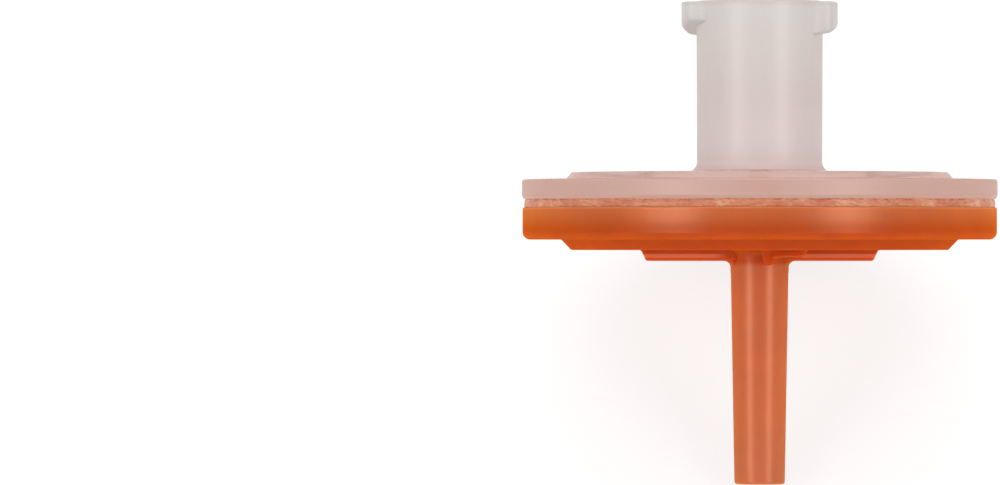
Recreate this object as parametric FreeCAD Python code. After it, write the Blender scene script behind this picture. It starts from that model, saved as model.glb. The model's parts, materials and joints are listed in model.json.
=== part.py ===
import FreeCAD, Part
import math
import os

# A 15 mm class syringe filter: a translucent inlet housing with a Luer-lock hub, a coloured
# outlet housing with a thin tapered spout, and a membrane disc clamped between them. The two
# housings are welded together round the rim.
#
# Every solid is first built in the filter's own frame: z runs along the axis towards the inlet,
# z = 0 is the plane where the housings meet, the lugs and the bar under the disc lie along x.
# At the end all of them are laid down as the filter comes to rest, on its rim and spout tip.

# ---------------------------------------------------------------- driving dimensions, mm
# Disc
rim_width = 2.43                # from the membrane's edge to the flange's, the widest part
rim_inset = 0.03                # the outlet rim stands this much inside the flange
flange_top = 1.19               # upper face of the thin flange
flange_edge_radius = 0.135
flange_taper_height = 0.15      # the flange draws in just above the weld
flange_taper_inset = 0.09
flange_neck_radius = 0.10
land_height = 0.36              # raised disc round the hub, above the flange
land_taper = 0.30
land_overlap = 0.24             # land's foot beyond the membrane's edge
land_edge_radius = 0.12
land_foot_fillet = 0.06

# Weld round the rim
weld_half_height = 0.21
weld_inset = 0.12               # the band of melted plastic is a shallow groove in the rim
weld_lip_width = 0.49
weld_gap = 0.03                 # melt gap behind the lip

# Membrane
membrane_radius = 9.45
membrane_thickness = 0.16
membrane_clearance = 0.05       # round its edge, in the outlet housing's pocket
seal_width = 1.15               # clamped edge of the membrane

# Inlet hub, ISO 594-2 female Luer lock with lugs
hub_length = 8.555              # above the land
hub_wall = 1.025                # at the cone's mouth
hub_draft = 0.03                # thinner at its root by this much
hub_root_fillet = 0.38
hub_edge_radius = 0.12
luer_mouth_radius = 2.135
luer_floor_wall = 1.605         # between the cone's floor and the chamber's ceiling
luer_taper = 0.06               # 6 % on the diameter
luer_edge_radius = 0.12
luer_floor_fillet = 0.15
flow_hole_radius = 0.65
flow_hole_inlet_edge = 0.10
flow_hole_outlet_edge = 0.15
lug_reach = 0.75                # out of the hub's wall, 7.8 mm across the two
lug_width = 3.2
lug_drop = 0.05                 # lugs stop just short of the hub's end face
lug_height = 1.30               # at the lug's outer edge, halfway along it
lug_root_drop = 0.25            # the underside falls towards the hub wall
lug_lead = 5.0                  # pitch of the two-start thread that the lugs follow
lug_corner_radius = 0.30
lug_edge_radius = 0.12
lug_under_radius = 0.24         # lower outer edge
lug_blend_radius = 0.35         # its two sides run into the hub's wall
lug_blend_depth = 0.03          # how far inside the wall the blend ends
lug_draft = 0.05

# Inlet chamber and its flow ribs
rib_clearance = 0.15            # between the ribs and the membrane's plane
ceiling_fillet = 0.15
chamber_edge_radius = 0.05
rib_height = 0.35
rib_width = 0.82
rib_gap = 0.415
rib_edge_gap = 0.81             # from the chamber wall to the outermost ring
rib_clear_radius = 3.30         # nothing hangs inside this, under the flow hole
rib_end_share = 0.46            # end radius of a rib over its width
spoke_width = 0.80              # radial flow channels between the ribs
spoke_count = 8
narrowest_rib = 0.40

# Inlet gate: a round recess with the sprue's stub in it
inlet_gate_margin = 0.40        # from the recess to the land's edge
inlet_gate_radius = 1.44
inlet_gate_depth = 0.10
inlet_stub_radius = 0.26
inlet_stub_height = 0.08

# Outlet housing
rim_height = 1.615              # below the weld band
rim_edge_radius = 0.38
rim_lip_radius = 0.06
step_height = 0.52              # shallow cone frustum under the rim
step_inset = 1.93               # its foot, in from the rim
step_taper = 0.50
step_root_fillet = 0.08
step_edge_radius = 0.10
floor_depth = 0.35              # drain channels, below the membrane's underside
floor_fillet = 0.10
seat_edge_radius = 0.05
drain_rib_width = 0.45
drain_rib_gap = 0.55
drain_edge_gap = 0.50
drain_channel_width = 0.70
drain_clear_radius = 1.30       # collecting well over the spout's bore

# Bar across the underside, through the spout's root
bar_height = 0.545
bar_half_length = 5.92
bar_end_taper = 0.25
bar_width = 1.70
bar_edge_radius = 0.12
bar_foot_fillet = 0.16          # where its two ends meet the step

# Spout
spout_length = 11.16            # below the bar
spout_root_radius = 1.46
spout_tip_radius = 1.26
spout_fillet = 0.33
spout_edge_radius = 0.15
spout_bore_root_radius = 0.62
spout_bore_tip_radius = 0.50
spout_bore_edge_radius = 0.08
spout_bore_lead_radius = 0.20   # where the drain's floor runs into the bore

# Outlet gate: the torn stub of a sprue beside the spout, on a low smear of plastic
outlet_gate_x = 0.52
outlet_gate_gap = 0.08          # from the spout's fillet to the stub's foot
outlet_stub_foot_radius = 0.48
outlet_stub_end_radius = 0.30
outlet_stub_height = 0.82
outlet_smear_length = 1.9
outlet_smear_width = 0.9
outlet_smear_height = 0.28
outlet_smear_corner_radius = 0.36

# ---------------------------------------------------------------- sizes that follow
disc_radius = membrane_radius + rim_width
rim_radius = disc_radius - rim_inset
land_top = flange_top + land_height
land_foot_radius = membrane_radius + land_overlap
land_top_radius = land_foot_radius - land_taper
hub_end = land_top + hub_length
hub_end_radius = luer_mouth_radius + hub_wall
hub_root_radius = hub_end_radius - hub_draft
lug_radius = hub_end_radius + lug_reach
chamber_radius = membrane_radius - seal_width
ceiling_height = rib_clearance + rib_height
pocket_radius = membrane_radius + membrane_clearance
weld_radius = disc_radius - weld_inset
lip_radius = weld_radius - weld_lip_width
luer_floor = ceiling_height + luer_floor_wall
luer_floor_radius = luer_mouth_radius - luer_taper * (hub_end - luer_floor) / 2
inlet_gate_offset = land_top_radius - inlet_gate_margin - inlet_gate_radius
step_foot_radius = rim_radius - step_inset
outlet_gate_y = -(spout_root_radius + spout_fillet + outlet_gate_gap + outlet_stub_foot_radius)
seat = -membrane_thickness
drain_floor = seat - floor_depth
rim_bottom = -weld_half_height - rim_height
step_bottom = rim_bottom - step_height
bar_bottom = step_bottom - bar_height
spout_tip = bar_bottom - spout_length

AXIS = FreeCAD.Vector(0, 0, 1)
CENTRE = FreeCAD.Vector(0, 0, 0)
OVERRUN = 1.0                   # how far a cutting solid stands past what it cuts
PARALLEL = 0.999                # cosine above which two directions are taken as one
TOUCHING = 1e-6                 # points nearer than this are the same point


def rounded_wire(corners):
    """Closed outline through (x, z, radius) corners in the XZ plane, each rounded by its radius."""
    edges = []
    cuts = []
    for i, (x, z, radius) in enumerate(corners):
        point = FreeCAD.Vector(x, 0, z)
        following = corners[(i + 1) % len(corners)]
        before = FreeCAD.Vector(corners[i - 1][0], 0, corners[i - 1][1])
        after = FreeCAD.Vector(following[0], 0, following[1])
        if radius == 0:
            cuts.append((point, point, None))
            continue
        back = (before - point).normalize()
        onward = (after - point).normalize()
        half = back.getAngle(onward) / 2
        reach = radius / math.tan(half)
        inward = (back + onward).normalize()
        middle = point + inward * (radius / math.sin(half) - radius)
        cuts.append((point + back * reach, point + onward * reach, middle))
    for i, (start, end, middle) in enumerate(cuts):
        if middle is not None:
            edges.append(Part.Arc(start, middle, end).toShape())
        following = cuts[(i + 1) % len(cuts)][0]
        if end.distanceToPoint(following) > TOUCHING:
            edges.append(Part.LineSegment(end, following).toShape())
    return Part.Wire(edges)


def turned(corners):
    """Solid of revolution about the axis, from its section."""
    return Part.Face(rounded_wire(corners)).revolve(CENTRE, AXIS, 360)


def ring(outer, inner, bottom, top):
    """Plain ring between two radii and two heights."""
    disc = Part.makeCylinder(outer, top - bottom, FreeCAD.Vector(0, 0, bottom))
    return disc.cut(Part.makeCylinder(inner, top - bottom, FreeCAD.Vector(0, 0, bottom)))


def spokes(count, width, length, bottom, top):
    """Bars through the axis, which cut the channels between ribs."""
    bars = []
    for i in range(count // 2):
        bar = Part.makeBox(2 * length, width, top - bottom, FreeCAD.Vector(-length, -width / 2, bottom))
        bars.append(bar.rotate(CENTRE, AXIS, i * 360 / count))
    return bars


def vertical_edges(shape):
    """Straight edges that run along the axis."""
    found = []
    for edge in shape.Edges:
        if edge.Curve.TypeId == "Part::GeomLine" and abs(edge.Curve.Direction.z) > PARALLEL:
            found.append(edge)
    return found


# ---------------------------------------------------------------- inlet housing
def lug_plan(foot, height):
    """Upright prism of a lug's outline: outer corners rounded, sides blended into a round core
    that lies just inside the hub's wall."""
    core_radius = hub_end_radius - lug_blend_depth
    side = lug_width / 2
    blank = Part.makeBox(lug_radius, lug_width, height, foot - FreeCAD.Vector(0, side, 0))
    blank = blank.common(Part.makeCylinder(lug_radius, height, foot))
    blank = blank.fuse(Part.makeCylinder(core_radius, height, foot)).removeSplitter()
    corners = [edge for edge in vertical_edges(blank) if edge.Vertexes[0].X > core_radius]
    blank = blank.makeFillet(lug_corner_radius, corners)
    roots = []
    for edge in vertical_edges(blank):
        place = edge.Vertexes[0].Point
        on_core = abs(math.hypot(place.x, place.y) - core_radius) < TOUCHING
        if on_core and abs(abs(place.y) - side) < TOUCHING:
            roots.append(edge)
    return blank.makeFillet(lug_blend_radius, roots)


def hub_lug(side):
    """One lug of the Luer lock, on the +x or -x side, its underside on the thread's slope."""
    top = hub_end - lug_drop
    under = top - lug_height
    inside = (hub_end_radius + luer_mouth_radius) / 2
    root_fall = lug_root_drop * (lug_radius - inside) / (lug_radius - hub_end_radius)
    plan = lug_plan(FreeCAD.Vector(0, 0, under - OVERRUN), lug_height + OVERRUN)
    if side < 0:
        plan.rotate(CENTRE, AXIS, 180)
    lug = plan.common(turned([
        (inside, top, 0),
        (lug_radius - lug_draft, top, lug_edge_radius),
        (lug_radius, under, lug_under_radius),
        (inside, under - root_fall, 0),
    ]))
    slope = math.degrees(math.atan(lug_lead / (2 * math.pi * lug_radius)))
    reach = lug_radius + OVERRUN
    ramp = Part.makeBox(2 * reach, 2 * reach, lug_height, FreeCAD.Vector(-reach, -reach, -lug_height))
    ramp.rotate(CENTRE, FreeCAD.Vector(1, 0, 0), side * slope)
    ramp.translate(FreeCAD.Vector(0, 0, under - root_fall / 2))
    return lug.cut(ramp)


def flow_ribs():
    """Rings of arc ribs that hang from the chamber's ceiling, cut through by the spokes."""
    low = ceiling_height - rib_height
    arcs = []
    outer = chamber_radius - rib_edge_gap
    channels = spokes(spoke_count, spoke_width, chamber_radius, low, ceiling_height)
    while outer - narrowest_rib > rib_clear_radius:
        inner = max(outer - rib_width, rib_clear_radius)
        band = ring(outer, inner, low, ceiling_height)
        end_radius = rib_end_share * (outer - inner)
        for arc in band.cut(channels).Solids:
            arcs.append(arc.makeFillet(end_radius, vertical_edges(arc)))
        outer -= rib_width + rib_gap
    return arcs


def inlet_housing():
    """Hub, land, flange and weld lip in one moulding, with the Luer cone, chamber and ribs inside."""
    body = turned([
        (luer_mouth_radius, hub_end, luer_edge_radius),
        (hub_end_radius, hub_end, hub_edge_radius),
        (hub_root_radius, land_top, hub_root_fillet),
        (land_top_radius, land_top, land_edge_radius),
        (land_foot_radius, flange_top, land_foot_fillet),
        (disc_radius, flange_top, flange_edge_radius),
        (disc_radius, weld_half_height + flange_taper_height, flange_neck_radius),
        (disc_radius - flange_taper_inset, weld_half_height, 0),
        (weld_radius, weld_half_height, 0),
        (weld_radius, -weld_half_height, 0),
        (lip_radius, -weld_half_height, 0),
        (lip_radius, 0, 0),
        (chamber_radius, 0, chamber_edge_radius),
        (chamber_radius, ceiling_height, ceiling_fillet),
        (flow_hole_radius, ceiling_height, flow_hole_outlet_edge),
        (flow_hole_radius, luer_floor, flow_hole_inlet_edge),
        (luer_floor_radius, luer_floor, luer_floor_fillet),
    ])
    gate_foot = FreeCAD.Vector(0, -inlet_gate_offset, land_top - inlet_gate_depth)
    recess = Part.makeCylinder(inlet_gate_radius, inlet_gate_depth + OVERRUN, gate_foot)
    stub = Part.makeCylinder(inlet_stub_radius, inlet_stub_height, gate_foot)
    lugs = [hub_lug(1), hub_lug(-1)]
    return body.cut(recess).fuse(lugs + flow_ribs() + [stub]).removeSplitter()


# ---------------------------------------------------------------- outlet housing
def bar():
    """Flat-sided bar across the underside, its two ends sloping in."""
    buried = step_bottom + step_height / 2
    reach = bar_half_length + 2 * bar_foot_fillet
    foot = rounded_wire([
        (-reach, buried, 0),
        (reach, buried, 0),
        (reach, step_bottom, 0),
        (bar_half_length, step_bottom, bar_foot_fillet),
        (bar_half_length - bar_end_taper, bar_bottom, bar_edge_radius),
        (-bar_half_length + bar_end_taper, bar_bottom, bar_edge_radius),
        (-bar_half_length, step_bottom, bar_foot_fillet),
        (-reach, step_bottom, 0),
    ])
    solid = Part.Face(foot).extrude(FreeCAD.Vector(0, bar_width, 0))
    solid.translate(FreeCAD.Vector(0, -bar_width / 2, 0))
    long_edges = []
    for edge in solid.Edges:
        flat = abs(edge.CenterOfMass.z - bar_bottom) < TOUCHING
        if flat and abs(edge.Vertexes[0].X - edge.Vertexes[1].X) > bar_half_length:
            long_edges.append(edge)
    return solid.makeFillet(bar_edge_radius, long_edges)


def spout_foot():
    """Fillet between the bar's lower face and the spout, no wider than the bar's flat."""
    buried = bar_bottom + bar_height / 2
    end = bar_bottom - 2 * spout_fillet
    wide = spout_root_radius + spout_fillet
    flare = turned([
        (0, buried, 0),
        (wide, buried, 0),
        (wide, bar_bottom, 0),
        (spout_root_radius, bar_bottom, spout_fillet),
        (spout_root_radius, end, 0),
        (0, end, 0),
    ])
    width = bar_width - 2 * bar_edge_radius
    slab = Part.makeBox(2 * wide, width, buried - end, FreeCAD.Vector(-wide, -width / 2, end))
    return flare.common(slab)


def drain_ribs():
    """Rings that carry the membrane, open to the spout along radial channels."""
    arcs = []
    outer = chamber_radius - drain_edge_gap
    channels = spokes(spoke_count, drain_channel_width, chamber_radius, drain_floor, seat)
    while outer - drain_rib_width > drain_clear_radius:
        band = ring(outer, outer - drain_rib_width, drain_floor, seat)
        arcs += band.cut(channels).Solids
        outer -= drain_rib_width + drain_rib_gap
    return arcs


def outlet_gate():
    """Broken stub of the sprue and the low smear beside it."""
    stub = Part.makeCone(outlet_stub_foot_radius, outlet_stub_end_radius, outlet_stub_height,
                         FreeCAD.Vector(outlet_gate_x, outlet_gate_y, step_bottom), -AXIS)
    smear = Part.makeBox(outlet_smear_length, outlet_smear_width, outlet_smear_height)
    smear = smear.makeFillet(outlet_smear_corner_radius, vertical_edges(smear))
    low_side = outlet_gate_y - outlet_smear_width / 2
    smear.translate(FreeCAD.Vector(outlet_gate_x, low_side, step_bottom - outlet_smear_height))
    return [stub, smear]


def outlet_housing():
    """Rim, stepped underside and spout in one moulding, with the membrane's pocket and drain inside."""
    body = turned([
        (pocket_radius, 0, 0),
        (lip_radius - weld_gap, 0, 0),
        (lip_radius - weld_gap, -weld_half_height, 0),
        (rim_radius, -weld_half_height, rim_lip_radius),
        (rim_radius, rim_bottom, rim_edge_radius),
        (step_foot_radius, rim_bottom, step_root_fillet),
        (step_foot_radius - step_taper, step_bottom, step_edge_radius),
        (spout_root_radius, step_bottom, spout_fillet),
        (spout_tip_radius, spout_tip, spout_edge_radius),
        (spout_bore_tip_radius, spout_tip, spout_bore_edge_radius),
        (spout_bore_root_radius, drain_floor, spout_bore_lead_radius),
        (chamber_radius, drain_floor, floor_fillet),
        (chamber_radius, seat, seat_edge_radius),
        (pocket_radius, seat, 0),
    ])
    core_foot = FreeCAD.Vector(0, 0, bar_bottom - OVERRUN)
    core_radius = (spout_bore_root_radius + spout_root_radius) / 2
    core = Part.makeCylinder(core_radius, bar_height + 2 * OVERRUN, core_foot)
    outside = [bar().cut(core), spout_foot().cut(core)]
    return body.fuse(outside + drain_ribs() + outlet_gate()).removeSplitter()


# ---------------------------------------------------------------- membrane
def membrane():
    """Flat porous disc that fills its pocket's depth."""
    return Part.makeCylinder(membrane_radius, membrane_thickness, FreeCAD.Vector(0, 0, seat))


# ---------------------------------------------------------------- rest pose
def laid_down(solids):
    """Turns the filter onto the line that touches its rim's lower edge and its spout's tip, with
    that line at z = 0 and the middle of its box over the origin. Gives the hub's slope."""
    rim_arc = (rim_radius - rim_edge_radius, rim_bottom + rim_edge_radius)
    tip_arc = (spout_tip_radius - spout_edge_radius, spout_tip + spout_edge_radius)
    run = rim_arc[0] - tip_arc[0]
    drop = rim_arc[1] - tip_arc[1]
    tilt = math.acos((spout_edge_radius - rim_edge_radius) / math.hypot(run, drop))
    slope = tilt - math.atan2(drop, run)
    below = rim_arc[0] * math.cos(slope) - rim_arc[1] * math.sin(slope) + rim_edge_radius
    for solid in solids.values():
        solid.rotate(CENTRE, FreeCAD.Vector(1, 0, 0), math.degrees(slope) - 90)
    middle = Part.makeCompound(list(solids.values())).optimalBoundingBox().Center
    for solid in solids.values():
        solid.translate(FreeCAD.Vector(-middle.x, -middle.y, below))
    return math.degrees(slope)


nodes = {
    "inlet_housing": inlet_housing(),
    "outlet_housing": outlet_housing(),
    "membrane": membrane(),
}
hub_angle = laid_down(nodes)
print("the hub points", round(hub_angle, 3), "degrees above level")

os.makedirs("parts", exist_ok=True)
for name, solid in nodes.items():
    print(name, solid.ShapeType, len(solid.Solids), solid.isValid(), round(solid.Volume, 3))
    solid.exportStep("parts/" + name + ".step")
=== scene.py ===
import json
import math

import bmesh
import bpy
from mathutils import Euler, Matrix, Vector


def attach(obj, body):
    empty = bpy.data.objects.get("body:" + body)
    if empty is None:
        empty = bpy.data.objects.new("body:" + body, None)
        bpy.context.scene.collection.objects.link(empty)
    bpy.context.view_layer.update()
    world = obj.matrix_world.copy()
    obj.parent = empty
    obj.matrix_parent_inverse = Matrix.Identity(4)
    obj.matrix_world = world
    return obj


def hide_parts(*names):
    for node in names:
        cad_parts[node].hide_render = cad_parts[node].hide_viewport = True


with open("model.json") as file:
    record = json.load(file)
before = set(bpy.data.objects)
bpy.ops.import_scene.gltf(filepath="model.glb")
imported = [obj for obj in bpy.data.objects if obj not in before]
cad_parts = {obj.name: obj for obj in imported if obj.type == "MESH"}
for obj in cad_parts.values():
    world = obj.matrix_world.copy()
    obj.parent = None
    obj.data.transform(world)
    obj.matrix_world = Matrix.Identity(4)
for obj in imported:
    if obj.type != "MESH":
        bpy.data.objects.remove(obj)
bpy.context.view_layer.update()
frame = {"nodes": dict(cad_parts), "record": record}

# ============================================================ outlet housing
# The lower half of the filter: one injection moulding in orange polypropylene, with a thin
# tapered spout for the filtrate, a bar that stiffens the spout's root, and the scar of its gate.
# Every piece is drawn upright in millimetres, the filter's axis along z, then laid down.

MM = 0.001
HUB_END = 10.105                 # the hub's mouth above the plane where the housings meet
luer_mount = next(m for m in frame["record"]["mounts"] if m["name"] == "inlet_luer")
filter_axis = Vector(luer_mount["axis"]).normalized()
seam_centre = Vector(luer_mount["pos_m"]) - filter_axis * HUB_END * MM
lean = -math.atan2(filter_axis.y, filter_axis.z)
laid_down = Matrix.Translation(seam_centre) @ Matrix.Rotation(lean, 4, "X") @ Matrix.Scale(MM, 4)

TURN_STEPS = 176
SECTOR = math.pi / 4             # the ribs repeat eight times round the axis
SAME_PLACE = 1e-4                # verts nearer to each other than this are one
NEAR = 1e-3                      # how closely an edge is found by its place
FILM = 0.01                      # air between two mouldings that touch


def deselect_all():
    """Leaves object mode with nothing selected."""
    if bpy.context.object and bpy.context.object.mode != "OBJECT":
        bpy.ops.object.mode_set(mode="OBJECT")
    bpy.ops.object.select_all(action="DESELECT")


def edit(piece):
    """Makes a piece the only selected object and opens it in edit mode, nothing selected in it."""
    deselect_all()
    piece.select_set(True)
    bpy.context.view_layer.objects.active = piece
    bpy.ops.object.mode_set(mode="EDIT")
    bpy.ops.mesh.select_mode(type="VERT")
    bpy.ops.mesh.select_all(action="DESELECT")


def pick(piece, kind, where):
    """Selects the verts, edges or faces of the open piece for which where(element) is true."""
    bpy.ops.mesh.select_mode(type={"verts": "VERT", "edges": "EDGE", "faces": "FACE"}[kind])
    bpy.ops.mesh.select_all(action="DESELECT")
    mesh = bmesh.from_edit_mesh(piece.data)
    for element in getattr(mesh, kind):
        if where(element):
            element.select_set(True)
    mesh.select_flush_mode()
    bmesh.update_edit_mesh(piece.data)


def rise(edge):
    """How far apart in height an edge's two ends are."""
    return abs(edge.verts[0].co.z - edge.verts[1].co.z)


def all_below(edge, height):
    """Whether an edge lies wholly below a height."""
    return all(v.co.z < height for v in edge.verts)


def outline(name, corners):
    """Closed outline in the XZ plane through (x, z, radius, segments) corners, rounded one by one,
    open in edit mode as one face."""
    deselect_all()
    first = corners[0]
    bpy.ops.mesh.primitive_plane_add(size=1, location=(first[0], 0, first[1]))
    piece = bpy.context.object
    piece.name = name
    bpy.ops.object.transform_apply(location=True)
    edit(piece)
    bpy.ops.mesh.select_all(action="SELECT")
    bpy.ops.mesh.merge(type="CENTER")
    for here, onward in zip(corners, corners[1:]):
        step = (onward[0] - here[0], 0, onward[1] - here[1])
        bpy.ops.mesh.extrude_vertices_move(TRANSFORM_OT_translate={"value": step})
    bpy.ops.mesh.select_all(action="SELECT")
    bpy.ops.mesh.edge_face_add()
    for i, (x, z, radius, segments) in enumerate(corners):
        if not radius:
            continue
        before = Vector(corners[i - 1][:2]) - Vector((x, z))
        after = Vector(corners[(i + 1) % len(corners)][:2]) - Vector((x, z))
        reach = radius / math.tan(before.angle(after) / 2)
        pick(piece, "verts", lambda v: (v.co - Vector((x, 0, z))).length < SAME_PLACE)
        bpy.ops.mesh.bevel(offset=reach, segments=segments, affect="VERTICES", clamp_overlap=False)
    return piece


def close(piece):
    """Leaves edit mode with the piece's faces turned outwards."""
    bpy.ops.mesh.select_all(action="SELECT")
    bpy.ops.mesh.normals_make_consistent(inside=False)
    bpy.ops.object.mode_set(mode="OBJECT")


def turn(piece, steps=TURN_STEPS):
    """Spins the open outline right round the axis into a closed shell that faces outwards."""
    bpy.ops.mesh.select_all(action="SELECT")
    bpy.ops.mesh.delete(type="ONLY_FACE")
    bpy.ops.mesh.select_all(action="SELECT")
    bpy.ops.mesh.spin(steps=steps, angle=2 * math.pi, center=(0, 0, 0), axis=(0, 0, 1))
    bpy.ops.mesh.select_all(action="SELECT")
    bpy.ops.mesh.remove_doubles(threshold=SAME_PLACE)
    close(piece)


def block(name, low, high):
    """A box between two corners, open in edit mode."""
    deselect_all()
    middle = [(a + b) / 2 for a, b in zip(low, high)]
    bpy.ops.mesh.primitive_cube_add(size=1, location=middle, scale=[b - a for a, b in zip(low, high)])
    piece = bpy.context.object
    piece.name = name
    bpy.ops.object.transform_apply(location=True, scale=True)
    edit(piece)
    return piece


def use_modifier(piece, kind, **settings):
    """Adds a modifier with its settings and applies it."""
    deselect_all()
    piece.select_set(True)
    bpy.context.view_layer.objects.active = piece
    modifier = piece.modifiers.new(kind.lower(), kind)
    for key, value in settings.items():
        setattr(modifier, key, value)
    bpy.ops.object.modifier_apply(modifier=modifier.name)


def combine(body, tool, operation):
    """Joins a solid to the body, or cuts it away, and removes it."""
    use_modifier(body, "BOOLEAN", object=tool, operation=operation, solver="EXACT")
    bpy.data.objects.remove(tool)


def turned_copy(piece, angle):
    """A copy with its own mesh, turned about the axis."""
    copy = piece.copy()
    copy.data = piece.data.copy()
    bpy.context.scene.collection.objects.link(copy)
    copy.data.transform(Matrix.Rotation(angle, 4, "Z"))
    return copy


def all_round(arc):
    """The arc rib and its seven copies, one in each sector."""
    return [turned_copy(arc, i * SECTOR) for i in range(1, 8)] + [arc]


def merge_all(pieces):
    """Joins pieces that do not touch into one object."""
    deselect_all()
    for piece in pieces:
        piece.select_set(True)
    bpy.context.view_layer.objects.active = pieces[0]
    bpy.ops.object.join()
    return pieces[0]


def lay_down(piece, sharp_angle):
    """Smooths the shading and puts the finished piece in its place, its object at the origin."""
    edit(piece)
    bpy.ops.mesh.select_all(action="SELECT")
    bpy.ops.mesh.remove_doubles(threshold=SAME_PLACE)
    bpy.ops.mesh.dissolve_degenerate(threshold=SAME_PLACE)
    bpy.ops.object.mode_set(mode="OBJECT")
    piece.data.transform(laid_down)
    bpy.ops.object.shade_smooth_by_angle(angle=math.radians(sharp_angle))
    use_modifier(piece, "WEIGHTED_NORMAL", keep_sharp=True, weight=60)


def rib_section(name, outer, inner, low, high, channel):
    """The cross-section of an arc rib, open in edit mode beside a radial channel of that width,
    and the angle that half the channel takes."""
    deselect_all()
    half = math.asin(channel / (outer + inner))
    bpy.ops.mesh.primitive_plane_add(size=1, location=((outer + inner) / 2, 0, (low + high) / 2),
                                     rotation=(math.pi / 2, 0, 0))
    arc = bpy.context.object
    arc.name = name
    arc.scale = (outer - inner, high - low, 1)
    bpy.ops.object.transform_apply(location=True, rotation=True, scale=True)
    edit(arc)
    bpy.ops.mesh.select_all(action="SELECT")
    bpy.ops.transform.rotate(value=half, orient_axis="Z", center_override=(0, 0, 0))
    return arc, half


def sweep_rib(half, end, steps):
    """Sweeps the section round to the next channel, one sector on, by one step over the angle of
    each end and short steps between them."""
    for count, angle in ((1, end), (steps, SECTOR - 2 * (half + end)), (1, end)):
        bpy.ops.mesh.spin(steps=count, angle=angle, center=(0, 0, 0), axis=(0, 0, 1))


RIM_RADIUS = 11.85
RIM_TOP = -0.21
RIM_BOTTOM = -1.825
STEP_ROOT_RADIUS = 9.92
STEP_RADIUS = 9.42
STEP_BOTTOM = -2.345
BAR_BOTTOM = -2.89
SPOUT_TIP = -14.05
SPOUT_TIP_RADIUS = 1.26
SPOUT_ROOT_RADIUS = 1.46
SPOUT_FILLET = 0.33
SPOUT_BORE = (0.50, 0.62)        # its radius at the tip and under the membrane
GROOVE_RADIUS = 11.24            # where the weld's groove begins
POCKET_RADIUS = 9.50             # the membrane lies in the pocket
SEAT = -0.16                     # the pocket's floor, under the membrane's edge
CHAMBER_RADIUS = 8.30            # of the ribbed chamber, the same in both housings
FLOOR = -0.51                    # the chamber's floor, where the drain ribs stand

# the turned body: (radius, height, corner radius, segments)
outlet = outline("outlet_moulding", [
    (POCKET_RADIUS, -FILM, 0, 0),
    (GROOVE_RADIUS, -FILM, 0, 0),
    (GROOVE_RADIUS, RIM_TOP - FILM, 0, 0),
    (RIM_RADIUS, RIM_TOP - FILM, 0.06, 3),
    (RIM_RADIUS, RIM_BOTTOM, 0.38, 9),
    (STEP_ROOT_RADIUS, RIM_BOTTOM, 0.08, 4),
    (STEP_RADIUS, STEP_BOTTOM, 0.10, 4),
    (SPOUT_ROOT_RADIUS, STEP_BOTTOM, SPOUT_FILLET, 7),
    (SPOUT_TIP_RADIUS, SPOUT_TIP, 0.15, 6),
    (SPOUT_BORE[0], SPOUT_TIP, 0.08, 4),
    (SPOUT_BORE[1], FLOOR, 0.20, 5),
    (CHAMBER_RADIUS, FLOOR, 0.10, 3),
    (CHAMBER_RADIUS, SEAT - FILM, 0.05, 2),
    (POCKET_RADIUS, SEAT - FILM, 0, 0),
])
turn(outlet)

# the bar: its ends slope in, with a curve where they meet the step and at the foot, and its long
# lower edges are rounded
BAR_HALF_LENGTH = 5.92
BAR_END_TAPER = 0.25
BAR_END_ROUNDING = 0.16
BAR_HALF_WIDTH = 0.85
BAR_EDGE = 0.12
# the bar's paler line is a painted highlight
BAR_HIGHLIGHT_HEIGHT = -2.64                 # the paler line along its sides
bar_root = STEP_BOTTOM + 0.002
bar_reach = BAR_HALF_LENGTH + 2 * BAR_END_ROUNDING
bar_end = [
    (bar_reach, STEP_BOTTOM + 0.26, 0, 0),
    (bar_reach, bar_root, 0, 0),
    (BAR_HALF_LENGTH, bar_root, BAR_END_ROUNDING, 4),
    (BAR_HALF_LENGTH - BAR_END_TAPER, BAR_BOTTOM, BAR_END_ROUNDING, 4),
]
bar = outline("bar", bar_end + [(-x, *rest) for x, *rest in reversed(bar_end)])
bpy.ops.mesh.select_all(action="SELECT")
bpy.ops.transform.translate(value=(0, -BAR_HALF_WIDTH, 0))
bpy.ops.mesh.extrude_region_move(TRANSFORM_OT_translate={"value": (0, 2 * BAR_HALF_WIDTH, 0)})
pick(bar, "edges", lambda e: all_below(e, STEP_BOTTOM - 0.3)
     and abs(e.verts[0].co.y - e.verts[1].co.y) < SAME_PLACE)
bpy.ops.mesh.bevel(offset=BAR_EDGE, segments=4, affect="EDGES")
close(bar)

# the spout's fillet under the bar, no wider than the bar's flat
FOOT_CORE = 1.0
foot_radius = SPOUT_ROOT_RADIUS + SPOUT_FILLET + 0.01
foot_neck = SPOUT_ROOT_RADIUS - 0.005
foot = outline("spout_foot", [
    (FOOT_CORE, BAR_BOTTOM + 0.2, 0, 0),
    (foot_radius, BAR_BOTTOM + 0.2, 0, 0),
    (foot_radius, BAR_BOTTOM, 0, 0),
    (foot_neck, BAR_BOTTOM, SPOUT_FILLET, 7),
    (foot_neck, BAR_BOTTOM - 0.6, 0, 0),
    (FOOT_CORE, BAR_BOTTOM - 0.6, 0, 0),
])
turn(foot)
edit(foot)
for side in (-1, 1):
    bpy.ops.mesh.select_all(action="SELECT")
    bpy.ops.mesh.bisect(plane_co=(0, side * (BAR_HALF_WIDTH - BAR_EDGE), 0), plane_no=(0, side, 0),
                        use_fill=True, clear_outer=True)
close(foot)

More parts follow.
